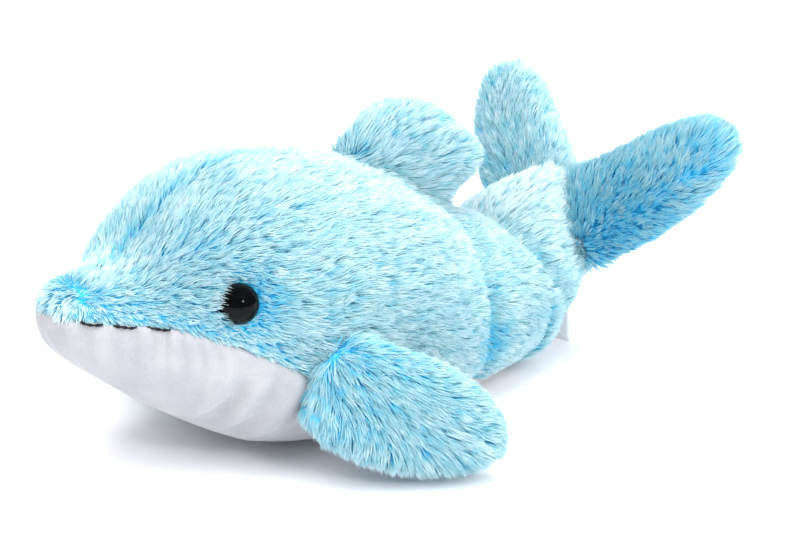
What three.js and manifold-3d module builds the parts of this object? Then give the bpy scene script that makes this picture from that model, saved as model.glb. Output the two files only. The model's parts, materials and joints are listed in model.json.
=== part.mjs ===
import * as THREE from 'three';
import { mergeVertices } from 'three/addons/utils/BufferGeometryUtils.js';
import Module from 'manifold-3d';

// A plush dolphin lying on its belly, in millimetres: nose to -Y, +Z up, +X its left side.
// Long-pile covers above, a short-nap cover below, fibre stuffing and plastic safety eyes.

// Cloth, seams and fits
const plushThickness = 4;
const bellyThickness = 2.5;
const seamGap = 0.6;
const fitGap = 0.3;
const floorCut = 0.5;
const bellyFullness = 2.8;
const endDome = 1.5;
const smallestCore = 3;

// Sections of body and tail: distance behind the nose tip, width, top and underside above the floor
const noseTip = { at: 5, width: 14, top: 75, bottom: 62 };
const beakEnd = { at: 9, width: 30, top: 79.5, bottom: 54 };
const beak = { at: 20, width: 47, top: 82, bottom: 44 };
const brow = { at: 35, width: 64, top: 85.5, bottom: 32.5 };
const forehead = { at: 52, width: 87, top: 100, bottom: 20 };
const crown = { at: 76, width: 104, top: 112.5, bottom: 6.5 };
const chest = { at: 108, width: 112, top: 110.5, bottom: -floorCut };
const back = { at: 146, width: 106, top: 99, bottom: -floorCut };
const loin = { at: 180, width: 88, top: 75, bottom: 0 };
const tailSeam = { at: 206, width: 72, top: 61, bottom: 3 };
const tailSwell = { at: 222, width: 69, top: 68, bottom: 5 };
const tailMiddle = { at: 240, width: 55, top: 75, bottom: 21 };
const tailEnd = { at: 256, width: 45, top: 80, bottom: 39 };
const tailTip = { at: 268, width: 26, top: 77, bottom: 51 };

// Side view of the seam between the blue sides and the white jaw and belly
const seamStart = { at: -12, height: 72 };
const seamNose = { at: 5, height: 70.5 };
const seamBeak = { at: 18, height: 68.5 };
const mouthCorner = { at: 41, height: 64.5 };
const seamCheek = { at: 58, height: 57 };
const seamThroat = { at: 78, height: 45 };
const seamChest = { at: 108, height: 24 };
const seamFlank = { at: 150, height: 13 };
const seamRear = { at: 225, height: 12 };

// Tail joint: the tail's rounded plug turns in a socket of the body, about an axis across it
const tailBendLimit = 20;
const plugShrink = 2;

// Limbs: where along its reach a leaf-shaped limb is widest and its tip begins, and how full it is
const widestShare = 0.42;
const tipShare = 0.84;
const plumpness = 0.8;

// Flippers, sewn along an outline of two like pieces: root seam to tip
const flipperReach = 75;
const flipperRoot = 33;
const flipperChord = 43;
const flipperTipChord = 23;
const flipperSweep = 3;
const flipperThickness = 26;
const flipperRootRadius = 5;
const flipperAt = 84;
const flipperAngle = -11;
const flipperRootSlope = 65;
const flipperBack = 56;
const flipperDroop = 30.5;

// Flukes
const flukeReach = 70;
const flukeRoot = 37;
const flukeChord = 40;
const flukeTipChord = 26;
const flukeSweep = 8;
const flukeThickness = 23;
const flukeRootRadius = 8.5;
const flukeTuck = 7;
const flukeSeat = { across: 20.5, at: 259, height: 59 };
const flukeRootSlope = 58;
const flukeBack = 22;
const flukeRise = 30;

// Dorsal fin, a lobe that leans back over its root
const finRoot = 60;
const finHeight = 28;
const finOverhang = 46;
const finLobe = 22;
const finLobeAt = 39;
const finFrontSet = 22;
const finFrontHeight = 14;
const finTopAt = 3;
const finCrestAt = 29;
const finCrestDrop = 1;
const finNotch = 26;
const finThickness = 27;
const finRootRadius = 5;
const finRootFit = 0.75;
const finStandoff = 1.2;
const finAt = 158;

// Safety eyes: dome, shank and lock washer
const eyeAt = 57;
const eyeAngle = 18.5;
const eyeDiameter = 15;
const eyeHeight = 8;
const eyeRim = 1.6;
const eyeSunk = 3.6;
const shankDiameter = 4.5;
const shankLength = 9;
const washerDiameter = 14;
const washerThickness = 1.5;

// Mouth thread, and the blank label sewn in under the tail
const mouthEnd = 44;
const threadDiameter = 1.6;
const stitchPitch = 13;
const stitchRise = 0.9;
const grooveOverrun = 0.03;
const labelAt = 245;
const labelWidth = 22;
const labelTrail = 7;
const labelThickness = 0.8;

// Facets
const bodySides = 20;
const bodySteps = 18;
const tailSteps = 7;
const outlineSteps = 22;
const pillowLevels = 7;
const latheSides = 18;
const threadSteps = 60;
const threadSides = 5;
const grooveSides = 6;
const seamSteps = 27;

const degrees = THREE.MathUtils.degToRad;
const wasm = await Module();
wasm.setup();

// Solids and pieces

function solidOf(geometry) {
  const bare = geometry.clone();
  bare.deleteAttribute('normal');
  bare.deleteAttribute('uv');
  const merged = mergeVertices(bare, 1e-4);
  return new wasm.Manifold(new wasm.Mesh({
    numProp: 3,
    vertProperties: new Float32Array(merged.attributes.position.array),
    triVerts: new Uint32Array(merged.index.array),
  }));
}

function geometryOf(solid) {
  const mesh = solid.getMesh();
  const geometry = new THREE.BufferGeometry();
  geometry.setAttribute('position', new THREE.BufferAttribute(mesh.vertProperties, 3));
  geometry.setIndex(new THREE.BufferAttribute(mesh.triVerts, 1));
  geometry.computeVertexNormals();
  return geometry;
}

const finishes = {
  plush: { color: 0x6cc3eb, roughness: 0.95 },
  nap: { color: 0xe6e6ec, roughness: 0.9 },
  fibre: { color: 0xf4f2ec, roughness: 1 },
  gloss: { color: 0x08090b, roughness: 0.08 },
  washer: { color: 0xf2f2f0, roughness: 0.5 },
  thread: { color: 0x111418, roughness: 0.8 },
  ribbon: { color: 0xf3f3f5, roughness: 0.6 },
};

function makePiece(name, geometry, finish) {
  const material = new THREE.MeshStandardMaterial({ ...finishes[finish], metalness: 0 });
  const piece = new THREE.Mesh(geometry, material);
  piece.name = name;
  return piece;
}

function middleOf(ring) {
  const sum = ring.reduce((total, point) => total.add(point), new THREE.Vector3());
  return sum.divideScalar(ring.length);
}

// A closed skin over rings of points, with a pole at each end
function loft(rings, firstPole, lastPole) {
  const sides = rings[0].length;
  const points = [...rings.flat(), firstPole, lastPole];
  const first = points.length - 2;
  const last = points.length - 1;
  const end = first - sides;
  const faces = [];
  for (let side = 0; side < sides; side++) {
    const next = (side + 1) % sides;
    faces.push(first, next, side);
    for (let here = 0; here < end; here += sides) {
      const beyond = here + sides;
      faces.push(here + side, here + next, beyond + next);
      faces.push(here + side, beyond + next, beyond + side);
    }
    faces.push(last, end + side, end + next);
  }
  const geometry = new THREE.BufferGeometry().setFromPoints(points);
  geometry.setIndex(faces);
  return solidOf(geometry);
}

function evenly(from, to, steps) {
  return Array.from({ length: steps + 1 }, (_, step) => from + ((to - from) * step) / steps);
}

// Half spaces, wide enough for the whole toy
const farOut = 4 * tailTip.at;

function halfSpace(x, y, z) {
  const geometry = new THREE.BoxGeometry(farOut, farOut, farOut);
  const shift = (farOut + seamGap) / 2;
  geometry.translate(x * shift, y * shift, z * shift);
  return solidOf(geometry);
}

const leftHalf = halfSpace(1, 0, 0);
const rightHalf = halfSpace(-1, 0, 0);
const upperHalf = halfSpace(0, 0, 1);
const lowerHalf = halfSpace(0, 0, -1);
const belowFloor = solidOf(new THREE.BoxGeometry(farOut, farOut, farOut).translate(0, 0, -farOut / 2));

// Body and tail, lofted through their sections

function sectionRun(sections) {
  const spread = new THREE.CatmullRomCurve3(
    sections.map((s) => new THREE.Vector3(s.at, s.width, 0)), false, 'catmullrom');
  const heights = new THREE.CatmullRomCurve3(
    sections.map((s) => new THREE.Vector3(s.top, s.bottom, 0)), false, 'catmullrom');
  const atShare = (share) => {
    const { x: at, y: width } = spread.getPoint(share);
    const { x: top, y: bottom } = heights.getPoint(share);
    return { at, width, top, bottom };
  };
  const shareOf = (at) => {
    const halvings = 40;
    let low = 0;
    let high = 1;
    for (let halving = 0; halving < halvings; halving++) {
      const middle = (low + high) / 2;
      if (spread.getPoint(middle).x < at) low = middle;
      else high = middle;
    }
    return (low + high) / 2;
  };
  return { atShare, shareOf, at: (at) => atShare(shareOf(at)) };
}

// A section is an ellipse above and a fuller curve below
function sectionPoint(section, angle, inset = 0) {
  const middle = (section.top + section.bottom) / 2;
  const halfHeight = (section.top - section.bottom) / 2 - inset;
  const halfWidth = section.width / 2 - inset;
  const power = Math.sin(angle) < 0 ? 2 / bellyFullness : 1;
  const across = Math.sign(Math.cos(angle)) * Math.abs(Math.cos(angle)) ** power;
  const up = Math.sign(Math.sin(angle)) * Math.abs(Math.sin(angle)) ** power;
  return new THREE.Vector3(halfWidth * across, section.at, middle + halfHeight * up);
}

// The ends are domed by lift
function loftSections(sections, inset, lift) {
  const roomy = sections.filter((s) => Math.min(s.width, s.top - s.bottom) / 2 - inset > smallestCore);
  const rings = roomy.map((section) => evenly(0, 2 * Math.PI, bodySides).slice(0, bodySides)
    .map((angle) => sectionPoint(section, -angle, inset)));
  const dome = new THREE.Vector3(0, lift, 0);
  return loft(rings, middleOf(rings[0]).sub(dome), middleOf(rings[rings.length - 1]).add(dome));
}

const bodyRun = sectionRun([noseTip, beakEnd, beak, brow, forehead, crown, chest, back, loin, tailSeam]);
const tailRun = sectionRun([tailSeam, tailSwell, tailMiddle, tailEnd, tailTip]);
const tailPivot = new THREE.Vector3(0, tailSeam.at, (tailSeam.top + tailSeam.bottom) / 2);
const tailRadius = (tailSeam.top - tailSeam.bottom) / 2;
const rimSetback = tailRadius * Math.sin(degrees(tailBendLimit)) + 2 * fitGap;
const behindRim = solidOf(new THREE.BoxGeometry(farOut, farOut, farOut)
  .translate(0, tailSeam.at - rimSetback + farOut / 2, 0));

function bodyLoft(inset, lift = endDome) {
  return loftSections(evenly(0, 1, bodySteps).map(bodyRun.atShare), inset, lift);
}

function tailLoft(inset, lift = endDome) {
  const sections = evenly(0, 1, tailSteps).map(tailRun.atShare);
  return loftSections(inset > 0 ? sections.slice(0, -1) : sections, inset, lift);
}

// The tail's plug is round about the joint's axis
function tailPlug(growth) {
  const geometry = new THREE.SphereGeometry(1, bodySides, bodySides / 2);
  geometry.rotateZ(Math.PI / 2);
  const radius = tailRadius - plugShrink + growth;
  geometry.scale(tailSeam.width / 2 - plugShrink + growth, radius, radius);
  geometry.translate(tailPivot.x, tailPivot.y, tailPivot.z);
  return solidOf(geometry);
}

// Point, outward normal and tailward direction on the skin
function skinFrame(run, at, angleDegrees) {
  const angle = degrees(angleDegrees);
  const step = 0.5;
  const turn = 0.01;
  const ahead = sectionPoint(run.at(at - step), angle);
  const along = sectionPoint(run.at(at + step), angle).sub(ahead).normalize();
  const around = sectionPoint(run.at(at), angle + turn).sub(sectionPoint(run.at(at), angle - turn));
  const normal = around.cross(along).negate().normalize();
  return { point: sectionPoint(run.at(at), angle), normal, along };
}

// The seam's side view, pulled across the whole width

const seamPoints = [
  seamStart, seamNose, seamBeak, mouthCorner, seamCheek, seamThroat, seamChest, seamFlank, seamRear,
];
const seamCurve = new THREE.SplineCurve(seamPoints.map((p) => new THREE.Vector2(p.at, p.height)));
const seamLine = seamCurve.getPoints(seamSteps);

function besideSeam(offset, farHeight) {
  const outline = seamLine.map((p) => new THREE.Vector2(p.x, p.y + offset));
  outline.push(new THREE.Vector2(outline[outline.length - 1].x, farHeight));
  outline.push(new THREE.Vector2(outline[0].x, farHeight));
  const shape = new THREE.Shape(outline);
  const geometry = new THREE.ExtrudeGeometry(shape, { depth: farOut, bevelEnabled: false });
  geometry.translate(0, 0, -farOut / 2);
  geometry.rotateX(Math.PI / 2);
  geometry.rotateZ(Math.PI / 2);
  return solidOf(geometry);
}

function seamHeight(at) {
  const after = seamLine.findIndex((p) => p.x > at);
  const from = seamLine[after - 1];
  const to = seamLine[after];
  return from.y + ((to.y - from.y) * (at - from.x)) / (to.x - from.x);
}

const aboveSeam = besideSeam(seamGap / 2, farOut);
const belowSeam = besideSeam(-seamGap / 2, -farOut);

// Limbs: two like pieces sewn along an outline and stuffed to a pillow; the hinge is the local Y axis

function pillow(outline, thickness, inset) {
  const middle = middleOf(outline);
  const reach = Math.min(...outline.map((point) => point.distanceTo(middle)));
  const shrink = 1 - inset / reach;
  const half = thickness / 2 - inset;
  const rings = evenly(-1, 1, pillowLevels + 1).slice(1, -1).map((level) => {
    const turn = level * (Math.PI / 2);
    const share = shrink * Math.cos(turn) ** plumpness;
    const height = half * Math.sin(turn);
    return outline.map((point) => middle.clone().lerp(point, share).setZ(height));
  });
  const pole = new THREE.Vector3(middle.x, middle.y, half);
  return loft(rings, pole.clone().setZ(-half), pole);
}

function sewnOutline(corners, side) {
  const points = corners.map(([out, tailward]) => new THREE.Vector3(out, tailward, 0));
  const curve = new THREE.CatmullRomCurve3(points, true, 'centripetal');
  const root = Math.min(...points.map((point) => point.x));
  const outline = curve.getSpacedPoints(outlineSteps).slice(0, outlineSteps)
    .map((point) => point.setX(Math.max(point.x, root)));
  return side > 0 ? outline : outline.map((point) => point.setY(-point.y)).reverse();
}

function leafCorners({ reach, root, chord, tipChord, sweep, rootRadius }) {
  const widest = widestShare * reach;
  const nearTip = tipShare * reach;
  return [
    [-rootRadius, -root / 2],
    [widest, (sweep * widest) / reach - chord / 2],
    [nearTip, sweep - tipChord / 2],
    [reach, sweep],
    [nearTip, sweep + tipChord / 2],
    [widest, (sweep * widest) / reach + chord / 2],
    [-rootRadius, root / 2],
    [-rootRadius, 0],
  ];
}

function addLimb(group, corners, thickness, side, names, press = (solid) => solid) {
  const outline = sewnOutline(corners, side);
  const layer = (inset) => press(pillow(outline, thickness, inset), inset + fitGap);
  const shell = layer(0).subtract(layer(plushThickness));
  group.add(makePiece(names[0], geometryOf(shell.intersect(upperHalf)), 'plush'));
  group.add(makePiece(names[1], geometryOf(shell.intersect(lowerHalf)), 'plush'));
  group.add(makePiece(names[2], geometryOf(layer(plushThickness + fitGap)), 'fibre'));
  return group;
}

// A limb's place on its hinge: local X reaches out, local Y runs along the root seam
function limbSeat(hinge, reach, seam, side) {
  const group = new THREE.Group();
  const mirror = new THREE.Vector3(side, 1, 1);
  const alongSeam = seam.clone().multiply(mirror).multiplyScalar(side);
  const out = reach.clone().projectOnPlane(seam).normalize().multiply(mirror);
  group.position.copy(hinge).multiply(mirror);
  group.quaternion.setFromRotationMatrix(
    new THREE.Matrix4().makeBasis(out, alongSeam, out.clone().cross(alongSeam)));
  group.updateMatrix();
  return group;
}

function outward(backDegrees, riseDegrees) {
  const rise = degrees(riseDegrees);
  const tailward = degrees(backDegrees);
  const flat = new THREE.Vector3(Math.cos(tailward), Math.sin(tailward), 0);
  return flat.multiplyScalar(Math.cos(rise)).setZ(Math.sin(rise));
}

function tailwardSlope(slopeDegrees) {
  return new THREE.Vector3(0, Math.cos(degrees(slopeDegrees)), Math.sin(degrees(slopeDegrees)));
}

const sides = [['left', 1], ['right', -1]];

function makeFlipper(name, side) {
  const corners = leafCorners({
    reach: flipperReach, root: flipperRoot, chord: flipperChord, tipChord: flipperTipChord,
    sweep: flipperSweep, rootRadius: flipperRootRadius,
  });
  const names = ['top_cover', 'bottom_cover', 'stuffing'].map((piece) => `${name}_flipper_${piece}`);
  const { point, normal } = skinFrame(bodyRun, flipperAt, flipperAngle);
  const hinge = point.addScaledVector(normal, flipperRootRadius + fitGap);
  const seam = tailwardSlope(flipperRootSlope).projectOnPlane(normal).normalize();
  const seat = limbSeat(hinge, outward(flipperBack, -flipperDroop), seam, side);
  const intoSeat = seat.matrix.clone().invert().elements;
  const press = (solid, clearance) => solid.subtract(bodyLoft(-clearance).transform(intoSeat));
  return addLimb(seat, corners, flipperThickness, side, names, press);
}

function makeDorsalFin() {
  const { point, normal, along } = skinFrame(bodyRun, finAt, 90);
  const rootCorner = (tailward) => {
    const onHinge = point.clone().addScaledVector(along, tailward);
    const fall = (onHinge.z - bodyRun.at(onHinge.y).top) * normal.z;
    return [-finRootRadius - finRootFit * fall, tailward];
  };
  const lobeMiddle = finHeight - finLobe / 2;
  const corners = [
    rootCorner(-finRoot / 2),
    [finFrontHeight, -finFrontSet],
    [finHeight, finTopAt],
    [finHeight - finCrestDrop, finCrestAt],
    [lobeMiddle + finLobe / 4, finOverhang],
    [finHeight - finLobe, finLobeAt],
    rootCorner(finNotch),
    rootCorner(0),
    rootCorner(-finRoot / 4),
  ];
  const names = ['right_cover', 'left_cover', 'stuffing'].map((piece) => `dorsal_fin_${piece}`);
  const hinge = point.clone().addScaledVector(normal, finRootRadius + finStandoff);
  const seat = limbSeat(hinge, normal, along, 1);
  return addLimb(seat, corners, finThickness, 1, names);
}

// Everything out from a hinge, with a root rounded about it
function roundRoot(radius) {
  const beyond = new THREE.BoxGeometry(farOut, farOut, farOut).translate(farOut / 2, 0, 0);
  return solidOf(beyond).add(solidOf(new THREE.CylinderGeometry(radius, radius, farOut, bodySides)));
}

function makeFluke(name, side) {
  const corners = leafCorners({
    reach: flukeReach, root: flukeRoot, chord: flukeChord, tipChord: flukeTipChord,
    sweep: flukeSweep, rootRadius: flukeRootRadius + flukeTuck,
  });
  const names = ['top_cover', 'bottom_cover', 'stuffing'].map((piece) => `${name}_fluke_${piece}`);
  const hinge = new THREE.Vector3(flukeSeat.across, flukeSeat.at, flukeSeat.height);
  const reach = outward(flukeBack, flukeRise);
  const seam = tailwardSlope(flukeRootSlope).projectOnPlane(reach).normalize();
  const round = (solid, clearance) => solid.intersect(roundRoot(flukeRootRadius + fitGap - clearance));
  return addLimb(limbSeat(hinge, reach, seam, side), corners, flukeThickness, side, names, round);
}

// What lies beyond a fluke's root seam is cut off the tail
function beyondFluke(group, clearance) {
  const geometry = new THREE.BoxGeometry(farOut, farOut, farOut);
  geometry.translate(farOut / 2 - flukeRootRadius - clearance, 0, 0);
  geometry.applyMatrix4(group.matrix);
  return solidOf(geometry);
}

// Safety eyes: the back of the dome sits down in the pile, on the cloth

function latheGeometry(profile) {
  const line = profile.map(([out, up]) => new THREE.Vector2(out, up));
  return new THREE.LatheGeometry(line, latheSides).rotateX(Math.PI / 2);
}

const eyeRadius = eyeDiameter / 2;
const shankRadius = shankDiameter / 2;
const washerTop = eyeSunk - plushThickness - fitGap;
const washerBottom = washerTop - washerThickness;

function makeEye() {
  const domeSteps = 6;
  const dome = evenly(0, 1, domeSteps).map((share) => [
    share < 1 ? eyeRadius * Math.cos(share * (Math.PI / 2)) : 0,
    eyeRim + (eyeHeight - eyeRim) * Math.sin(share * (Math.PI / 2)),
  ]);
  const stem = [[0, -shankLength], [shankRadius, -shankLength], [shankRadius, 0], [eyeRadius, 0]];
  return latheGeometry([...stem, ...dome]);
}

function makeWasher() {
  const bore = shankRadius + fitGap;
  const outer = washerDiameter / 2;
  return latheGeometry([
    [bore, washerBottom], [outer, washerBottom], [outer, washerTop], [bore, washerTop], [bore, washerBottom],
  ]);
}

function eyePocket() {
  const shank = shankRadius + fitGap;
  const socket = eyeRadius + fitGap;
  return latheGeometry([
    [0, -shankLength - fitGap], [shank, -shankLength - fitGap], [shank, -fitGap],
    [socket, -fitGap], [socket, eyeHeight], [0, eyeHeight],
  ]);
}

function washerPocket() {
  const outer = washerDiameter / 2 + fitGap;
  const bottom = washerBottom - fitGap;
  const top = washerTop + fitGap;
  return latheGeometry([[0, bottom], [outer, bottom], [outer, top], [0, top]]);
}

function seatEye(object, side) {
  const { point, normal } = skinFrame(bodyRun, eyeAt, eyeAngle);
  const mirror = new THREE.Vector3(side, 1, 1);
  object.position.copy(point.addScaledVector(normal, -eyeSunk).multiply(mirror));
  object.quaternion.setFromUnitVectors(new THREE.Vector3(0, 0, 1), normal.multiply(mirror));
  object.updateMatrix();
  return object;
}

function eyeCut(geometry, side) {
  const seat = seatEye(new THREE.Object3D(), side);
  return solidOf(geometry.applyMatrix4(seat.matrix));
}

// Mouth thread: a running stitch along the seam, from one corner of the mouth round the beak to the other

function mouthPath(stitched, past) {
  const spread = evenly(-1, 1, threadSteps).map((share) => share * (1 + past));
  const line = spread.map((share) => {
    const at = noseTip.at + (mouthEnd - noseTip.at) * share * share;
    const section = bodyRun.at(at);
    const height = seamHeight(at);
    const middle = (section.top + section.bottom) / 2;
    const lift = Math.abs(height - middle) / ((section.top - section.bottom) / 2);
    const power = height < middle ? bellyFullness : 2;
    const halfWidth = (section.width / 2) * (1 - lift ** power) ** (1 / power);
    return new THREE.Vector3(Math.sign(share) * halfWidth, at, height);
  });
  if (!stitched) return new THREE.CatmullRomCurve3(line);
  let run = 0;
  return new THREE.CatmullRomCurve3(line.map((point, index) => {
    const before = line[Math.max(index - 1, 0)];
    const after = line[Math.min(index + 1, line.length - 1)];
    run += point.distanceTo(before);
    const tangent = after.clone().sub(before).normalize();
    const out = tangent.cross(new THREE.Vector3(0, 0, 1)).normalize();
    return point.clone().addScaledVector(out, stitchRise * Math.cos((2 * Math.PI * run) / stitchPitch));
  }));
}

function roundSection(radius, corners) {
  const circle = evenly(0, 2 * Math.PI, corners).slice(0, corners);
  const rim = circle.map((turn) => new THREE.Vector2(Math.cos(turn), Math.sin(turn)).multiplyScalar(radius));
  return new THREE.Shape(rim);
}

function threadGeometry() {
  return new THREE.ExtrudeGeometry(roundSection(threadDiameter / 2, threadSides), {
    extrudePath: mouthPath(true, 0), steps: threadSteps, bevelEnabled: false,
  });
}

function threadGroove() {
  const radius = threadDiameter / 2 + stitchRise + fitGap;
  return solidOf(new THREE.ExtrudeGeometry(roundSection(radius, grooveSides), {
    extrudePath: mouthPath(false, grooveOverrun), steps: threadSteps / 2, bevelEnabled: false,
  }));
}

// Label: a folded ribbon that hangs from the tail's underside to the floor
function labelGeometry() {
  const { at, bottom } = tailRun.at(labelAt);
  const fall = new THREE.QuadraticBezierCurve(
    new THREE.Vector2(at, bottom - labelThickness),
    new THREE.Vector2(at + labelTrail, bottom - labelThickness),
    new THREE.Vector2(at + labelTrail, labelThickness));
  const ribbonSteps = 6;
  const edge = (side) => evenly(0, 1, ribbonSteps).map((share) => {
    const tangent = fall.getTangent(share);
    const across = new THREE.Vector2(-tangent.y, tangent.x);
    return fall.getPoint(share).addScaledVector(across, (side * labelThickness) / 2);
  });
  const outline = new THREE.Shape([...edge(1), ...edge(-1).reverse()]);
  const geometry = new THREE.ExtrudeGeometry(outline, { depth: labelWidth, bevelEnabled: false });
  geometry.translate(0, 0, -labelWidth / 2);
  geometry.rotateX(Math.PI / 2);
  geometry.rotateZ(Math.PI / 2);
  return geometry;
}

// Assembly

function makeBody() {
  const socket = tailPlug(2 * fitGap);
  const skin = bodyLoft(0).subtract(behindRim).subtract(socket).subtract(belowFloor);
  const groove = threadGroove();
  const sewnTop = skin.subtract(bodyLoft(plushThickness)).intersect(aboveSeam).subtract(groove);
  const belly = skin.subtract(bodyLoft(bellyThickness)).intersect(belowSeam).subtract(groove);
  const fillTop = bodyLoft(plushThickness + fitGap, 0);
  const fillBelly = bodyLoft(bellyThickness + fitGap, 0).intersect(belowSeam);
  let filling = fillTop.add(fillBelly).subtract(behindRim).subtract(socket).subtract(groove);
  const group = new THREE.Group();
  for (const [name, side] of sides) {
    const half = side > 0 ? leftHalf : rightHalf;
    const pocket = eyeCut(eyePocket(), side).add(eyeCut(washerPocket(), side));
    group.add(makePiece(`${name}_side_cover`, geometryOf(sewnTop.intersect(half).subtract(pocket)), 'plush'));
    group.add(seatEye(makePiece(`${name}_eye`, makeEye(), 'gloss'), side));
    group.add(seatEye(makePiece(`${name}_eye_washer`, makeWasher(), 'washer'), side));
    filling = filling.subtract(pocket);
  }
  group.add(makePiece('belly_cover', geometryOf(belly), 'nap'));
  group.add(makePiece('body_stuffing', geometryOf(filling), 'fibre'));
  group.add(makePiece('mouth_thread', threadGeometry(), 'thread'));
  return group;
}

function makeTail() {
  const flukes = sides.map(([name, side]) => makeFluke(name, side));
  const trim = (solid, clearance) => flukes.reduce(
    (kept, fluke) => kept.subtract(beyondFluke(fluke, clearance)), solid);
  const skin = trim(tailLoft(0).add(tailPlug(0)), fitGap);
  const lining = trim(tailLoft(plushThickness).add(tailPlug(-plushThickness)), fitGap + plushThickness);
  const deeper = plushThickness + fitGap;
  const filling = trim(tailLoft(deeper, 0).add(tailPlug(-deeper)), fitGap + deeper);
  const shell = skin.subtract(lining);
  const group = new THREE.Group();
  group.add(makePiece('tail_left_cover', geometryOf(shell.intersect(leftHalf)), 'plush'));
  group.add(makePiece('tail_right_cover', geometryOf(shell.intersect(rightHalf)), 'plush'));
  group.add(makePiece('tail_stuffing', geometryOf(filling), 'fibre'));
  group.add(makePiece('sewn_label', labelGeometry(), 'ribbon'));
  for (const piece of [...group.children]) piece.geometry.translate(0, -tailPivot.y, -tailPivot.z);
  for (const fluke of flukes) {
    fluke.position.sub(tailPivot);
    group.add(fluke);
  }
  group.position.copy(tailPivot);
  return group;
}

const dolphin = new THREE.Group();
dolphin.add(makeBody());
dolphin.add(makeTail());
dolphin.add(makeDorsalFin());
for (const [name, side] of sides) dolphin.add(makeFlipper(name, side));

// The origin is under the middle of the toy's length
const extent = new THREE.Box3().setFromObject(dolphin, true);
dolphin.position.y = -(extent.min.y + extent.max.y) / 2;

export default dolphin;
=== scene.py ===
import json
import math

import bmesh
import bpy
import numpy as np
from mathutils import Matrix, Vector, noise
from mathutils.bvhtree import BVHTree
from mathutils.kdtree import KDTree


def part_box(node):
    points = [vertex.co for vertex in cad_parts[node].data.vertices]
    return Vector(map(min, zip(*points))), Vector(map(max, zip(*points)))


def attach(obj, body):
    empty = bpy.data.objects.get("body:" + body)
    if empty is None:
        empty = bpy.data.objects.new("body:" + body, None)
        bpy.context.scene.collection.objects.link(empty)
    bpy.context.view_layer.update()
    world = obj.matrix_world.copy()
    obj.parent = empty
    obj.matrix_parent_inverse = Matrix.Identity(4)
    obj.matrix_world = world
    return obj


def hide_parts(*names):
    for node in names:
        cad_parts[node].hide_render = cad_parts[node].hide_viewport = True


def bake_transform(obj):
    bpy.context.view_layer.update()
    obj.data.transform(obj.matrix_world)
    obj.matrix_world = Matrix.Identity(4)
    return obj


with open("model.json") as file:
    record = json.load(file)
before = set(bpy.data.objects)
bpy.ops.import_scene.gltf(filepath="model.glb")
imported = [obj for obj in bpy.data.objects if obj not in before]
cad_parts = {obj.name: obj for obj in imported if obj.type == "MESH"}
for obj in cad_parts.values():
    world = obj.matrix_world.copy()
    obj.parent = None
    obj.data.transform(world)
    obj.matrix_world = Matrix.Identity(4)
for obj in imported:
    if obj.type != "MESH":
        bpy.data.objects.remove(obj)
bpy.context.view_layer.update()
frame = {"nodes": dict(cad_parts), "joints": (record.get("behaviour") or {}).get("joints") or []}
mm = 0.001
weld = 0.01 * mm            # points closer than this are one
sides = (("left", 1), ("right", -1))
joints = {joint["name"]: joint for joint in frame["joints"]}
print("frame loaded,", len(frame["nodes"]), "pieces")


# Colours, nodes and materials

def linear(hexColour):
    channels = [int(hexColour[i:i + 2], 16) / 255 for i in (1, 3, 5)]
    return (*(c / 12.92 if c <= 0.04045 else ((c + 0.055) / 1.055) ** 2.4 for c in channels), 1.0)


def addNode(tree, kind, settings={}, inputs={}, stops=()):
    node = tree.nodes.new(kind)
    for name, value in settings.items():
        setattr(node, name, value)
    for key, value in inputs.items():
        if isinstance(value, bpy.types.NodeSocket):
            tree.links.new(value, node.inputs[key])
        else:
            node.inputs[key].default_value = value
    for index, (place, colour) in enumerate(stops):
        elements = node.color_ramp.elements
        stop = elements[index] if index < 2 else elements.new(place)
        stop.position = place
        stop.color = linear(colour)
    return node


def newMaterial(name, sockets):
    material = bpy.data.materials.new(name)
    material.use_nodes = True
    tree = material.node_tree
    shader = tree.nodes["Principled BSDF"]
    for socket, value in sockets.items():
        shader.inputs[socket].default_value = value
    where = addNode(tree, "ShaderNodeTexCoord").outputs["Object"]
    return material, tree, shader, where


def grains(tree, where, size, detail):
    # Noise with grains of a size, for naps, smears and marks
    settings = {"Vector": where, "Scale": 1 / size, "Detail": detail}
    return addNode(tree, "ShaderNodeTexNoise", {}, settings).outputs["Fac"]


reliefStrength = 0.5


def dress(tree, shader, value, stops, relief=None):
    # Colours a shader by a value, and raises it by the same value where relief gives a height
    shade = addNode(tree, "ShaderNodeValToRGB", {}, {"Fac": value}, stops)
    tree.links.new(shade.outputs["Color"], shader.inputs["Base Color"])
    if relief:
        bump = addNode(tree, "ShaderNodeBump", {}, {
            "Height": value, "Strength": reliefStrength, "Distance": relief,
        })
        tree.links.new(bump.outputs["Normal"], shader.inputs["Normal"])


pileLook = {
    "root": "#30ccf2", "low": "#7ce2f4", "middle": "#b0e2ea", "pale": "#d2ecf0", "tip": "#ecf6f8",
    "roughness": 0.6, "ior": 1.54,
    "paleReach": 1.0,       # how far a strand's own paleness moves it along the colours
    "glow": 0.45,           # share of the light that passes through a strand
}


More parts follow.
